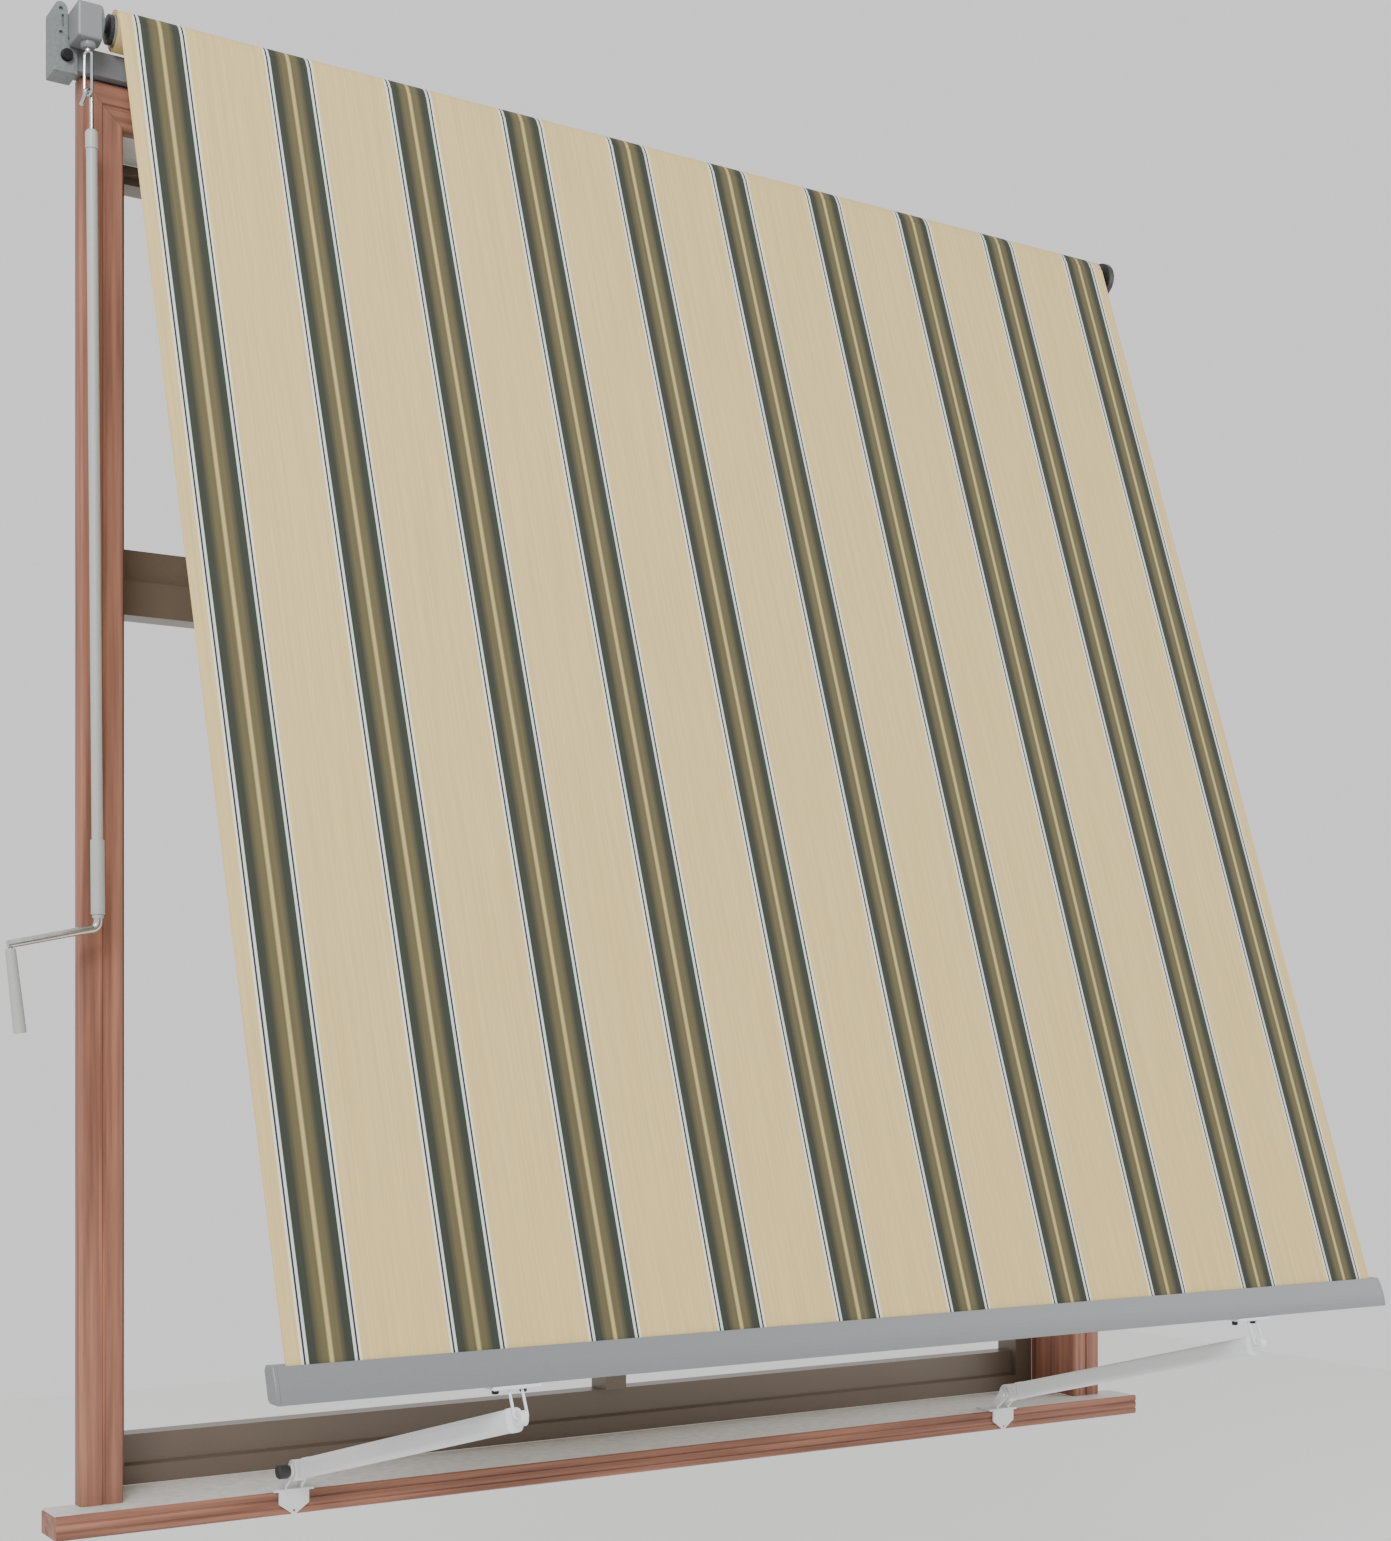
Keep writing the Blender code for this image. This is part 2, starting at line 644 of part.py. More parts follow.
def make_clip(side):
    """Plate under the bar, its two bolts, and the bent-wire shackle that carries the arm."""
    pivot = Vector((ARMS[side][1], ARM_END_Y, ARM_END_Z))
    middle = pivot.x
    top = FABRIC_END.z - FRONT_BAR_HEIGHT - GAP
    bottom = top - CLIP_THICK
    low = (middle - CLIP_HALF, CLIP_FRONT, bottom)
    high = (middle + CLIP_HALF, CLIP_BACK, top)
    clip = box("clip_" + side, low, high, "white_paint", pivot)
    soften(clip, 0.0012, 1)
    for number, sign in ((1, -1), (2, 1)):
        seat = Vector((middle + sign * CLIP_BOLT_SPACING, -0.815, bottom - GAP))
        turned(
            f"clip_bolt_{side}_{number}", seat, (0, 0, -1),
            [(0, 0.0070), (0.0014, 0.0070), (0.0014, 0.0055), (0.0075, 0.0055), (0.0085, 0.0040)],
            "dark_plastic", 12, pivot,
        )
    lower = pivot
    upper = Vector((middle, -0.8350, bottom - GAP - 0.0010))
    down = (lower - upper).normalized()
    bend = 0.004
    x_axis = Vector((1, 0, 0))
    path = []
    for sign in (-1, 1):
        corner = lower + sign * SHACKLE_HALF * x_axis
        leg = upper + sign * SHACKLE_HALF * x_axis
        centre = corner - down * bend - sign * bend * x_axis
        turn = arc(centre, sign * x_axis, down, bend, 0, 90, 4)
        part = [leg] + turn
        path += part if sign < 0 else list(reversed(part))
    wire("shackle_" + side, path, SHACKLE_WIRE, "white_paint", 10, False, pivot)


# ---- drop arms ------------------------------------------------------------------------
def arm_frame(side):
    """Start, direction, sideways and upward vectors of an arm."""
    low_x, high_x = ARMS[side]
    start = Vector((low_x, ARM_PIVOT_Y, ARM_PIVOT_Z))
    stop = Vector((high_x, ARM_END_Y, ARM_END_Z))
    along = (stop - start).normalized()
    up = Vector((1, 0, 0)).cross(along)
    up = -up if up.z < 0 else up
    up = up.normalized()
    return start, stop, along, along.cross(up).normalized(), up


def oval(centre, side_vector, up, wide, tall, count=20):
    """A rounded rectangle's ring, flat-sided and round-topped."""
    points = []
    for i in range(count):
        turn = 2 * math.pi * i / count
        c, s = math.cos(turn), math.sin(turn)
        stretch = 0.62
        across = math.copysign(abs(c) ** stretch, c) * wide / 2
        rise = math.copysign(abs(s) ** stretch, s) * tall / 2
        points.append(centre + across * side_vector + rise * up)
    return points


def make_arm(side):
    """Lower knuckle, oval tube and upper knuckle."""
    start, stop, along, sideways, up = arm_frame(side)
    x_axis = Vector((1, 0, 0))
    y_axis, z_axis = Vector((0, 1, 0)), Vector((0, 0, 1))
    length = (stop - start).length
    tube_from, tube_to = 0.044, length - 0.030
    wall = 0.0018
    ends = [start + tube_from * along, start + tube_to * along]
    hollow_loft(
        "arm_tube_" + side,
        [oval(e, sideways, up, ARM_WIDE, ARM_TALL) for e in ends],
        [oval(e, sideways, up, ARM_WIDE - 2 * wall, ARM_TALL - 2 * wall) for e in ends],
        "white_paint", start,
    )

    def knuckle(name, centre, half, radius, neck, bore, direction):
        """A round boss across the arm with a tapered block that plugs the tube."""
        boss_data = bmesh.new()
        rings = [
            circle(centre + s * half * x_axis, y_axis, z_axis, radius, 28) for s in (-1, 1)
        ]
        add_loft(boss_data, rings)
        boss = finish(name, boss_data, "white_paint", start)
        narrow = 2 * half
        joined = [
            oval(centre + direction * 0.001, sideways, up, narrow, radius * 1.7),
            oval(centre + direction * neck * 0.55, sideways, up, narrow, radius * 1.75),
            oval(centre + direction * (neck - 0.010), sideways, up, ARM_WIDE + 0.002, ARM_TALL + 0.002),
            oval(centre + direction * (neck - GAP), sideways, up, ARM_WIDE + 0.002, ARM_TALL + 0.002),
        ]
        block = loft(name + "_block", joined, "white_paint")
        join(boss, block)
        hole_start = centre - x_axis * (half + 0.01)
        hole = turned(
            name + "_bore", hole_start, x_axis, [(0, bore), (2 * half + 0.02, bore)],
            "white_paint", 20,
        )
        cut(boss, hole)

    knuckle("arm_hub_" + side, start, 0.0115, 0.0180, tube_from, 0.0044, along)
    knuckle("arm_end_" + side, stop, 0.0060, 0.0110, 0.030, SHACKLE_WIRE + GAP, -along)


BRACKET_PLATE = 0.004
EAR_GAP = 0.0124
EAR_THICK = 0.004


def make_sill_bracket(side):
    """Folded plate: a pointed shield on the nosing, a foot on the sill and two ears."""
    middle = ARMS[side][0]
    back = SILL_FRONT - GAP
    front = back - BRACKET_PLATE
    foot_top = SILL_TOP + GAP + BRACKET_PLATE
    foot_back = -0.044
    half = 0.027
    shield = [(-half, foot_top), (-half, -0.001)]
    shield += [(0.006 * math.cos(t), -0.0135 + 0.006 * math.sin(t))
               for t in [math.radians(215 + 110 * i / 6) for i in range(7)]]
    shield += [(half, -0.001), (half, foot_top)]
    rings = [[Vector((middle + x, y, z)) for x, z in shield] for y in (front, back)]
    bracket = loft("sill_bracket_" + side, rings, "white_paint")
    foot = box(
        "foot_" + side, (middle - 0.036, front + 0.0005, SILL_TOP + GAP),
        (middle + 0.036, foot_back, foot_top), "white_paint",
    )
    join(bracket, foot)
    pivot_y, pivot_z = ARM_PIVOT_Y, ARM_PIVOT_Z
    radius = 0.0120
    for number, sign in ((1, -1), (2, 1)):
        outline = [(front + 0.001, foot_top - 0.0015), (-0.066, foot_top - 0.0015)]
        for i in range(11):
            turn = math.radians(35 + 180 * i / 10)
            outline.append((pivot_y + radius * math.cos(turn), pivot_z + radius * math.sin(turn)))
        outline.append((front + 0.001, foot_top + 0.004))
        near = middle + sign * EAR_GAP
        far = middle + sign * (EAR_GAP + EAR_THICK)
        ear = loft(f"ear_{side}_{number}", [along_x(outline, near), along_x(outline, far)], "white_paint")
        join(bracket, ear)
    hole = turned(
        "pivot_hole_" + side, (middle - 0.03, pivot_y, pivot_z), (1, 0, 0),
        [(0, 0.0044), (0.06, 0.0044)], "white_paint", 20,
    )
    cut(bracket, hole)
    fixing = turned(
        "fixing_hole_" + side, (middle, front - 0.01, -0.0125), (0, 1, 0),
        [(0, 0.0022), (0.03, 0.0022)], "white_paint", 16,
    )
    cut(bracket, fixing)


def make_pivot_bolts():
    """A bolt with a large black knob on the left arm, and a plain one on the right arm."""
    reach = EAR_GAP + EAR_THICK + GAP
    x_axis = Vector((1, 0, 0))
    shank = 0.0041
    heads = {
        "left": ([(0, 0.0100), (0.003, 0.0128), (0.016, 0.0128), (0.019, 0.0110), (0.019, 0.0085),
                  (0.0215, 0.0085)], "dark_plastic"),
        "right": ([(0, 0.0070), (0.0045, 0.0080), (0.006, 0.0080)], "white_paint"),
    }
    for side, (head, finish_name) in heads.items():
        middle = Vector((ARMS[side][0], ARM_PIVOT_Y, ARM_PIVOT_Z))
        depth = head[-1][0]
        profile = head + [(depth, shank), (depth + 2 * reach, shank)]
        profile += [(depth + 2 * reach, 0.0072), (depth + 2 * reach + 0.0050, 0.0072)]
        turned(
            "pivot_bolt_" + side, middle - (reach + depth) * x_axis, x_axis, profile,
            finish_name, 24, middle,
        )


# ---- eye and crank ----------------------------------------------------------------------
HOOK_WAY = Vector((-math.cos(EYE_TURN), -math.sin(EYE_TURN), 0))
EYE_WAY = Vector((math.sin(EYE_TURN), -math.cos(EYE_TURN), 0))
SEAT = Vector((EYE_X, EYE_Y, EYE_SEAT_Z))
UP = Vector((0, 0, 1))
ROD_TOP = SEAT - HOOK_RADIUS * HOOK_WAY


def crank_point(height, aside=0.0):
    """A point on the hanging crank's axis, which leans a little to the right."""
    fall = (ROD_TOP.z - height) / (ROD_TOP.z - CRANK_TUBE_END)
    return Vector((ROD_TOP.x + CRANK_LEAN * fall + aside, ROD_TOP.y, height))


def make_gear_eye():
    """A long closed eye with a round stem that turns in the gear's neck."""
    half = 0.0075
    low_centre = SEAT + half * UP
    high_centre = Vector((EYE_X, EYE_Y, 2.3925))
    loop = arc(low_centre, EYE_WAY, UP, half, 180, 360, 8)
    loop += arc(high_centre, EYE_WAY, UP, half, 0, 180, 8)
    eye = wire("gear_eye", loop, EYE_WIRE, "bright_steel", 10, True, SEAT)
    stem = turned(
        "stem_guide", (EYE_X, EYE_Y, 2.3985), (0, 0, 1), [(0, 0.0048), (0.030, 0.0048)],
        "bright_steel", 20,
    )
    join(eye, stem)


def make_crank():
    """Hooked rod, collar, tube, turning sleeve, bent arm and turning handle."""
    tail_start = SEAT + HOOK_RADIUS * HOOK_WAY
    bend = arc(SEAT, -HOOK_WAY, UP, HOOK_RADIUS, 0, 180, 10)
    rod_foot = crank_point(CRANK_TUBE_TOP + 0.012)
    path = [rod_foot, crank_point(2.290), crank_point(2.310)] + bend
    path += [tail_start + 0.003 * HOOK_WAY - 0.010 * UP, tail_start + 0.009 * HOOK_WAY - 0.022 * UP]
    wire("crank_hook", path, HOOK_WIRE, "bright_steel", 12, False, SEAT)

    collar_top = crank_point(CRANK_TUBE_TOP + 0.031)
    collar_foot = crank_point(CRANK_TUBE_TOP + GAP)
    down = (crank_point(1.0) - crank_point(2.0)).normalized()
    collar = turned(
        "crank_collar", collar_top, down,
        [(0, 0.0075), (0.004, 0.0104), ((collar_top - collar_foot).length, 0.0104)],
        "pale_plastic", 24, SEAT,
    )
    socket = turned(
        "collar_bore", collar_top - down * 0.01, down, [(0, HOOK_WIRE + GAP), (0.0300, HOOK_WIRE + GAP)],
        "pale_plastic", 16,
    )
    cut(collar, socket)

    tube_top = crank_point(CRANK_TUBE_TOP)
    tube_foot = crank_point(CRANK_TUBE_END)
    across, up = side_vectors(down)
    hollow_loft(
        "crank_tube",
        [circle(p, across, up, 0.0090, 24) for p in (tube_top, tube_foot)],
        [circle(p, across, up, 0.0075, 24) for p in (tube_top, tube_foot)],
        "pale_plastic", SEAT,
    )
    sleeve_ends = [crank_point(1.1176), crank_point(0.9960)]
    hollow_loft(
        "crank_grip",
        [circle(p, across, up, 0.0112, 24) for p in sleeve_ends],
        [circle(p, across, up, 0.0094, 24) for p in sleeve_ends],
        "pale_plastic", sleeve_ends[0],
    )

    plug_top = tube_foot - down * 0.030
    elbow = crank_point(0.9740)
    far = Vector((elbow.x - 0.146, elbow.y, elbow.z - 0.031))
    path = [plug_top, tube_foot + down * 0.002]
    outward = (far - elbow).normalized()
    bend_centre_gap = 0.012
    for i in range(1, 6):
        share = i / 6
        first = elbow - down * bend_centre_gap
        last = elbow + outward * bend_centre_gap
        path.append((1 - share) ** 2 * first + 2 * share * (1 - share) * elbow + share ** 2 * last)
    path.append(far)
    wire("crank_arm", path, 0.0068, "bright_steel", 16, False, SEAT)
    handle_way = Vector((0.015, 0, -0.132)).normalized()
    handle_top = far + outward * -0.004 + handle_way * 0.0073
    pin = turned(
        "handle_pin_guide", handle_top - handle_way * 0.0075, handle_way,
        [(0, 0.0040), (0.115, 0.0040)], "bright_steel", 16,
    )
    join(bpy.data.objects["crank_arm"], pin)
    handle = turned(
        "crank_handle", handle_top, handle_way,
        [(0, 0.0078), (0.004, 0.0085), (0.133, 0.0103), (0.136, 0.0096)], "pale_plastic", 24,
        handle_top,
    )
    bore = turned(
        "handle_bore", handle_top - handle_way * 0.01, handle_way, [(0, 0.0043), (0.120, 0.0043)],
        "pale_plastic", 16,
    )
    cut(handle, bore)


# ---- the whole awning ---------------------------------------------------------------------
def main():
    clear_scene()
    make_casings()
    make_sill()
    make_linings()
    make_window_frame()
    make_square_bar()
    make_left_bracket()
    make_clamp_bolt("clamp_bolt", CLAMP)
    make_right_bracket()
    make_gear_housing()
    make_roller_plate()
    make_roller()
    make_fabric()
    make_front_bar()
    for side in ARMS:
        make_clip(side)
        make_arm(side)
        make_sill_bracket(side)
    make_pivot_bolts()
    make_gear_eye()
    make_crank()


main()
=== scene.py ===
# %% [markdown]
# # Drop-arm window awning
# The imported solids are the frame. This script gives every surface its finish, and replaces
# the two plain fabric solids with a striped sheet and a striped roll.

# %% Load the frame
import json
import math

import bmesh
import bpy
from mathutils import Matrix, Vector


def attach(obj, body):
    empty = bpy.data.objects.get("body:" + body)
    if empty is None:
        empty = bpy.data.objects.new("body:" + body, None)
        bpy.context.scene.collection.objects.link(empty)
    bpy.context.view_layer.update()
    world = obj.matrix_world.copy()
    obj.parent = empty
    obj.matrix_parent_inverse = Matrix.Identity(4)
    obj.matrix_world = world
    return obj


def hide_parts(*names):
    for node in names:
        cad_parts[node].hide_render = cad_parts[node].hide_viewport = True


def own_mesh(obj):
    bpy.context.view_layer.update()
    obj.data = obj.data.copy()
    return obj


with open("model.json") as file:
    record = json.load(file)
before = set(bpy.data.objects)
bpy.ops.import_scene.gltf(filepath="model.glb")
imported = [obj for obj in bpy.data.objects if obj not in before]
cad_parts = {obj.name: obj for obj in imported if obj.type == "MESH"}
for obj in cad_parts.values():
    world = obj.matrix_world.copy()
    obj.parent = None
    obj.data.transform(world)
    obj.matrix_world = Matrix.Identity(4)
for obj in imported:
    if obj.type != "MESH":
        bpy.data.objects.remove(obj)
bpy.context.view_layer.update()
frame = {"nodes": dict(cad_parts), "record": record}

ROLLER_Y, ROLLER_Z, ROLL_RADIUS = -0.0554, 2.4568, 0.033
FABRIC_HALF = 1.0775
FABRIC_END = Vector((0.0, -0.8153, 0.346))
STRIPES = 10
STRIPE_PITCH = 0.2244
TUCK = 0.005
CLOTH_THICK = 0.0012
BELOW_ROLL = 0.004              # the sheet starts this far past the roll's tangent
OFF_ROLL = 0.0008               # and its middle stands this far off the roll
SHEET_CELLS = 60
CREASE = math.radians(35)


# %% [markdown]
# ## Finishes
# Paint, timber, steel and plastic are noise on Object coordinates driving colour, roughness
# and a little bump. Object coordinates keep a pattern fixed to its piece as the piece moves.

# %% Material helpers
def new_material(name):
    made = bpy.data.materials.new(name)
    made.use_nodes = True
    tree = made.node_tree
    return made, tree, tree.nodes["Principled BSDF"]


def noise(tree, coordinates, scale, detail=4.0):
    """Noise on the piece's own coordinates, stretched by a scale for each axis."""
    mapping = tree.nodes.new("ShaderNodeMapping")
    mapping.inputs["Scale"].default_value = scale
    tree.links.new(coordinates, mapping.inputs["Vector"])
    made = tree.nodes.new("ShaderNodeTexNoise")
    made.inputs["Scale"].default_value = 1.0
    made.inputs["Detail"].default_value = detail
    tree.links.new(mapping.outputs["Vector"], made.inputs["Vector"])
    return made.outputs["Fac"]


def ramp(tree, value, stops):
    made = tree.nodes.new("ShaderNodeValToRGB")
    ends = made.color_ramp.elements
    for index, (position, colour) in enumerate(stops):
        stop = ends[index] if index < 2 else ends.new(position)
        stop.position = position
        stop.color = (*colour, 1.0)
    tree.links.new(value, made.inputs["Fac"])
    return made.outputs["Color"]


def bump(tree, shader, height, strength, distance):
    made = tree.nodes.new("ShaderNodeBump")
    made.inputs["Strength"].default_value = strength
    made.inputs["Distance"].default_value = distance
    tree.links.new(height, made.inputs["Height"])
    tree.links.new(made.outputs["Normal"], shader.inputs["Normal"])


def mottled(name, dark, light, roughness, metallic=0.0, scale=(60, 60, 60), relief=0.08):
    made, tree, shader = new_material(name)
    place = tree.nodes.new("ShaderNodeTexCoord").outputs["Object"]
    grain = noise(tree, place, scale)
    tree.links.new(ramp(tree, grain, [(0.3, dark), (0.7, light)]), shader.inputs["Base Color"])
    shader.inputs["Roughness"].default_value = roughness
    shader.inputs["Metallic"].default_value = metallic
    bump(tree, shader, grain, relief, 0.0005)
    return made


# %% Finishes for the hard pieces
TIMBER_DARK, TIMBER_LIGHT = (0.16, 0.062, 0.038), (0.36, 0.155, 0.098)
LOOKS = {
    "timber_up": mottled("timber_up", TIMBER_DARK, TIMBER_LIGHT, 0.6, 0, (90, 90, 3), 0.35),
    "timber_along": mottled("timber_along", TIMBER_DARK, TIMBER_LIGHT, 0.6, 0, (3, 90, 90), 0.35),
    "pale_board": mottled("pale_board", (0.55, 0.54, 0.52), (0.68, 0.67, 0.65), 0.5),
    "bronze_frame": mottled("bronze_frame", (0.138, 0.106, 0.081), (0.150, 0.116, 0.089), 0.36, 0.2,
                            (400, 400, 400), 0.05),
    "grey_paint": mottled("grey_paint", (0.158, 0.165, 0.172), (0.170, 0.177, 0.184), 0.40, 0,
                          (400, 400, 400), 0.05),
    "grey_casting": mottled("grey_casting", (0.13, 0.15, 0.15), (0.20, 0.22, 0.215), 0.5, 0.2,
                            (200, 200, 200), 0.3),
    "white_paint": mottled("white_paint", (0.66, 0.67, 0.69), (0.70, 0.71, 0.73), 0.33, 0,
                           (400, 400, 400), 0.04),
    "bright_steel": mottled("bright_steel", (0.50, 0.51, 0.53), (0.66, 0.67, 0.69), 0.2, 1.0),
    "roller_steel": mottled("roller_steel", (0.36, 0.37, 0.38), (0.50, 0.51, 0.52), 0.4, 1.0),
    "dark_plastic": mottled("dark_plastic", (0.012, 0.012, 0.014), (0.025, 0.025, 0.028), 0.5),
    "dark_steel": mottled("dark_steel", (0.012, 0.012, 0.014), (0.03, 0.03, 0.033), 0.4, 0.6),
    "pale_plastic": mottled("pale_plastic", (0.37, 0.39, 0.37), (0.41, 0.43, 0.41), 0.45, 0,
                            (400, 400, 400), 0.04),
}
LOOKS["front_bar_paint"] = LOOKS["grey_paint"]
SLOTS = {row["node"]: row["material_slot"] for row in frame["record"]["subparts"]}
UPRIGHT = ("casing_left", "casing_right", "lining_left", "lining_right")
painted = 0
for node, piece in frame["nodes"].items():
    look = SLOTS[node]
    if look == "canvas":
        continue
    if look == "timber":
        look = "timber_up" if node in UPRIGHT else "timber_along"
    piece.data.materials.clear()
    piece.data.materials.append(LOOKS[look])
    painted += 1
print("painted", painted)


# %% [markdown]
# ## Canvas
# The stripes are a rule in X: a repeat with a cream line, a dark line and a white line at each
# side, dark green fading to olive inside, and a cream line in the middle. One mirrored ramp
# over the distance from the stripe's middle says all of it. Noise drawn out along the cloth
# makes its streaks, and a fine noise gives the bump of its threads.

# %% Canvas material
SAND = (0.63, 0.475, 0.205)
CREAM, INK, MINT = (0.72, 0.70, 0.56), (0.010, 0.014, 0.017), (0.56, 0.63, 0.62)
GREEN, OLIVE, PALE = (0.027, 0.033, 0.021), (0.105, 0.088, 0.038), (0.42, 0.34, 0.14)
HALF_PITCH = STRIPE_PITCH / 2
# Distance from the stripe's middle in millimetres, and the colour that starts to hold there.
BANDS = (
    (0.0, PALE), (1.6, PALE), (4.5, OLIVE), (13.0, OLIVE), (23.0, GREEN), (33.6, GREEN),
    (34.0, MINT), (37.8, MINT), (38.2, INK), (40.8, INK), (41.2, CREAM), (44.4, CREAM),
    (45.2, SAND),
)


def maths(tree, operation, first, second=None):
    made = tree.nodes.new("ShaderNodeMath")
    made.operation = operation
    for socket, value in zip(made.inputs, (first, second)):
        if value is None:
            continue
        if isinstance(value, (int, float)):
            socket.default_value = value
        else:
            tree.links.new(value, socket)
    return made.outputs["Value"]


def make_canvas():
    made, tree, shader = new_material("striped_canvas")
    place = tree.nodes.new("ShaderNodeTexCoord").outputs["Object"]
    split = tree.nodes.new("ShaderNodeSeparateXYZ")
    tree.links.new(place, split.inputs["Vector"])
    shifted = maths(tree, "ADD", split.outputs["X"], STRIPE_PITCH * STRIPES / 2)
    turn = maths(tree, "FRACT", maths(tree, "DIVIDE", shifted, STRIPE_PITCH))
    away = maths(tree, "ABSOLUTE", maths(tree, "SUBTRACT", turn, 0.5))
    share = maths(tree, "MULTIPLY", away, 2.0)
    stops = [(mm / 1000 / HALF_PITCH, colour) for mm, colour in BANDS]
    stripes = ramp(tree, share, stops)
    slub = noise(tree, place, (260, 4, 4), 3.0)
    tint = ramp(tree, slub, [(0.3, (0.84, 0.84, 0.84)), (0.7, (1.0, 1.0, 1.0))])
    mix = tree.nodes.new("ShaderNodeMix")
    mix.data_type = "RGBA"
    mix.blend_type = "MULTIPLY"
    mix.inputs["Factor"].default_value = 1.0
    colours = [socket for socket in mix.inputs if socket.type == "RGBA"]
    tree.links.new(stripes, colours[0])
    tree.links.new(tint, colours[1])
    result = [socket for socket in mix.outputs if socket.type == "RGBA"][0]
    tree.links.new(result, shader.inputs["Base Color"])
    shader.inputs["Roughness"].default_value = 0.9
    bump(tree, shader, noise(tree, place, (900, 900, 900), 2.0), 0.2, 0.0004)
    return made


CANVAS = make_canvas()
print("canvas bands", len(BANDS))


# %% [markdown]
# ## Sheet
# The sheet is straight between the roll's tangent and the bar's slot, because the bar's weight
# keeps it taut. A grid built by a node tree follows that line, and a thin wall closes it.

# %% Sheet geometry
centre = Vector((0, ROLLER_Y, ROLLER_Z))
reach = FABRIC_END - centre
lean = math.atan2(reach.z, reach.y) - math.acos(ROLL_RADIUS / reach.length)
normal = Vector((0, math.cos(lean), math.sin(lean)))
leave = centre + ROLL_RADIUS * normal
down = (FABRIC_END - leave).normalized()
LENGTH = (FABRIC_END - leave).length
print("sheet length", round(LENGTH, 4), "lean", round(math.degrees(math.asin(-down.y)), 2))


def sheet_tree():
    """Inputs width, length, rows and columns; a closed slab in its own XY plane."""
    tree = bpy.data.node_groups.new("stretched_sheet", "GeometryNodeTree")
    face = tree.interface
    for name, kind in (("Width", "NodeSocketFloat"), ("Length", "NodeSocketFloat"),
                       ("Thickness", "NodeSocketFloat"), ("Columns", "NodeSocketInt"),
                       ("Rows", "NodeSocketInt"), ("Finish", "NodeSocketMaterial")):
        face.new_socket(name, in_out="INPUT", socket_type=kind)
    face.new_socket("Geometry", in_out="OUTPUT", socket_type="NodeSocketGeometry")
    add, link = tree.nodes.new, tree.links.new
    given, out = add("NodeGroupInput"), add("NodeGroupOutput")
    size = add("ShaderNodeCombineXYZ")
    slab = add("GeometryNodeMeshCube")
    link(given.outputs["Width"], size.inputs["X"])
    link(given.outputs["Length"], size.inputs["Y"])
    link(given.outputs["Thickness"], size.inputs["Z"])
    link(size.outputs["Vector"], slab.inputs["Size"])
    link(given.outputs["Columns"], slab.inputs["Vertices X"])
    link(given.outputs["Rows"], slab.inputs["Vertices Y"])
    real = add("GeometryNodeRealizeInstances")
    paint = add("GeometryNodeSetMaterial")
    link(slab.outputs["Mesh"], real.inputs["Geometry"])
    link(real.outputs["Geometry"], paint.inputs["Geometry"])
    link(given.outputs["Finish"], paint.inputs["Material"])
    link(paint.outputs["Geometry"], out.inputs["Geometry"])
    return tree


def from_tree(name, tree, values):
    host = bpy.data.objects.new(name, bpy.data.meshes.new(name + "_host"))
    bpy.context.scene.collection.objects.link(host)
    step = host.modifiers.new("tree", "NODES")
    step.node_group = tree
    for item in tree.interface.items_tree:
        if item.in_out == "INPUT":
            step[item.identifier] = values[item.name]
    bpy.context.view_layer.update()
    shaped = host.evaluated_get(bpy.context.evaluated_depsgraph_get())
    mesh = bpy.data.meshes.new_from_object(shaped)
    host.modifiers.remove(step)
    host.data = mesh
    return host


tree = sheet_tree()
full = LENGTH + TUCK - BELOW_ROLL
values = {"Width": 2 * FABRIC_HALF, "Length": full, "Thickness": CLOTH_THICK, "Columns": SHEET_CELLS,
          "Rows": SHEET_CELLS, "Finish": CANVAS}
hanging = from_tree("hanging_canvas", tree, values)
top = leave + BELOW_ROLL * down + OFF_ROLL * normal
for vertex in hanging.data.vertices:
    along = full / 2 - vertex.co.y
    vertex.co = top + along * down + vertex.co.z * normal + Vector((vertex.co.x, 0, 0))
hanging.data.update()
print("sheet faces", len(hanging.data.polygons))


# %% [markdown]
# ## Roll
# The turns left on the tube are one closed ring. Its ends have shallow ridges, as the edges of
# wound cloth do. A spiral would show the same from outside at many times the size.

# %% Roll geometry
TURNS_END = [(0.0258, 0.0), (0.0276, 0.0008), (0.0294, 0.0), (0.0312, 0.0008), (0.0329, 0.0)]
profile = [(radius, FABRIC_HALF - inset) for radius, inset in TURNS_END]
profile += [(radius, -(FABRIC_HALF - inset)) for radius, inset in reversed(TURNS_END)]
ROUND = 64
points, faces = [], []
for step in range(ROUND):
    angle = 2 * math.pi * step / ROUND
    for radius, x in profile:
        y = ROLLER_Y + radius * math.cos(angle)
        points.append((x, y, ROLLER_Z + radius * math.sin(angle)))
count = len(profile)
for step in range(ROUND):
    following = (step + 1) % ROUND
    for i in range(count):
        j = (i + 1) % count
        faces.append((step * count + i, step * count + j, following * count + j,
                      following * count + i))
mesh = bpy.data.meshes.new("canvas_roll")
mesh.from_pydata(points, [], faces)
mesh.materials.append(CANVAS)
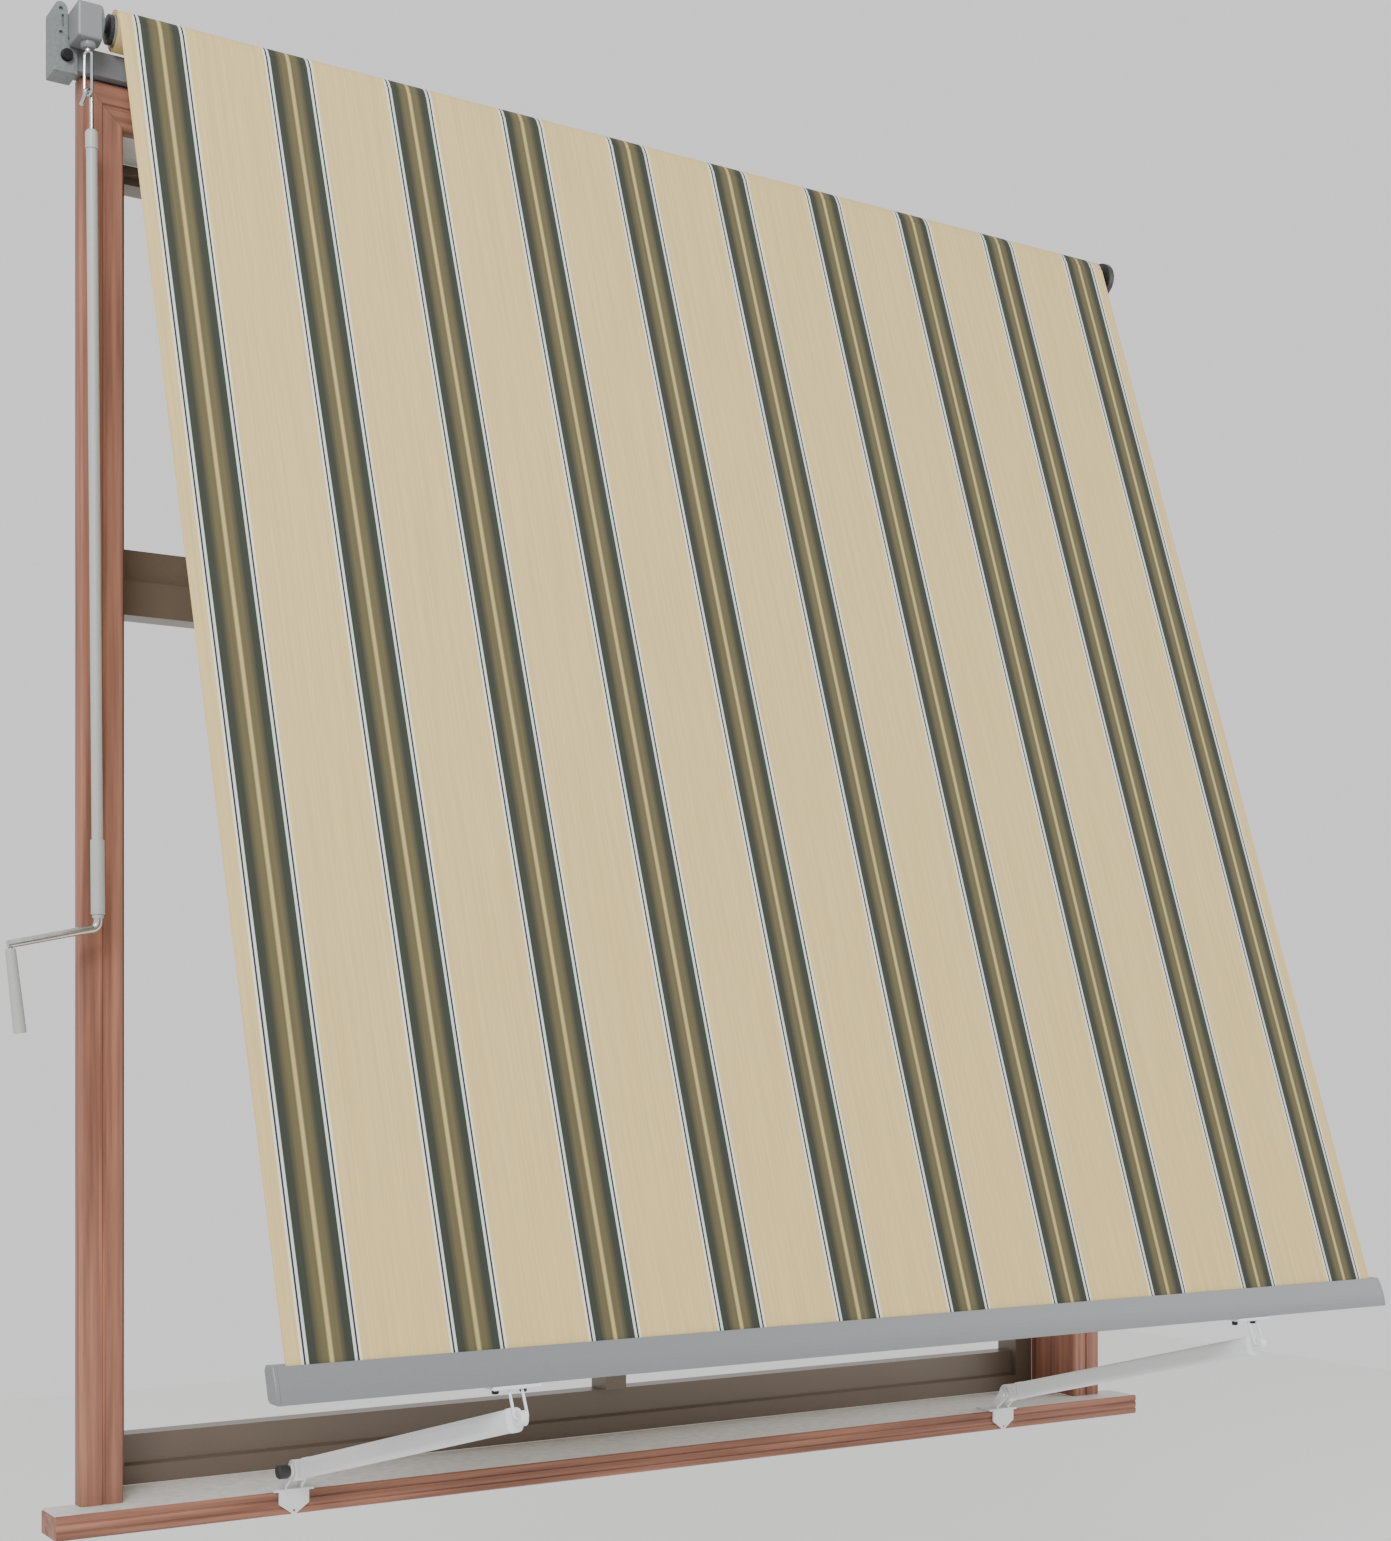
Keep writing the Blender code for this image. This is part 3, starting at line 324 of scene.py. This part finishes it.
roll = bpy.data.objects.new("canvas_roll", mesh)
bpy.context.scene.collection.objects.link(roll)


def face_outwards(piece):
    shape = bmesh.new()
    shape.from_mesh(piece.data)
    bmesh.ops.remove_doubles(shape, verts=shape.verts, dist=0.00001)
    bmesh.ops.recalc_face_normals(shape, faces=shape.faces)
    shape.to_mesh(piece.data)
    shape.free()
    piece.data.shade_smooth()
    piece.data.set_sharp_from_angle(angle=CREASE)


for piece in (hanging, roll):
    face_outwards(piece)

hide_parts("fabric")
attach(hanging, "sheet")
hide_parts("fabric_roll")
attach(roll, "roller")
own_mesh(hanging)
print("roll faces", len(roll.data.polygons))

# %% [markdown]
# ## Stage, light and camera

# %% Stage
bpy.ops.mesh.primitive_plane_add(size=14, location=(0, 0, -0.9))
floor = bpy.context.object
floor.name = "floor"
plain, _, shader = new_material("plain_floor")
shader.inputs["Base Color"].default_value = (0.88, 0.88, 0.87, 1)
shader.inputs["Roughness"].default_value = 0.9
floor.data.materials.append(plain)


def area_light(name, place, size, power):
    data = bpy.data.lights.new(name, "AREA")
    data.size = size
    data.energy = power
    lamp = bpy.data.objects.new(name, data)
    lamp.location = place
    aim = Vector((0, 0, 1.2)) - lamp.location
    lamp.rotation_euler = aim.to_track_quat("-Z", "Y").to_euler()
    bpy.context.scene.collection.objects.link(lamp)
    return lamp


key = area_light("key", (-3.5, -4.5, 4.5), 2.5, 330)
fill = area_light("fill", (4.5, -3.5, 2.5), 3.5, 130)
world = bpy.data.worlds.new("studio")
world.use_nodes = True
world.node_tree.nodes["Background"].inputs["Color"].default_value = (1.0, 1.0, 1.0, 1)
world.node_tree.nodes["Background"].inputs["Strength"].default_value = 1.0
bpy.context.scene.world = world

lens = bpy.data.cameras.new("camera")
lens.lens = 50.82
lens.sensor_width = 36
lens.shift_y = 0.183
camera = bpy.data.objects.new("camera", lens)
camera.location = (-2.1787, -3.6056, 0.7706)
camera.rotation_euler = (math.pi / 2, 0, -0.5623)
bpy.context.scene.collection.objects.link(camera)
bpy.context.scene.camera = camera
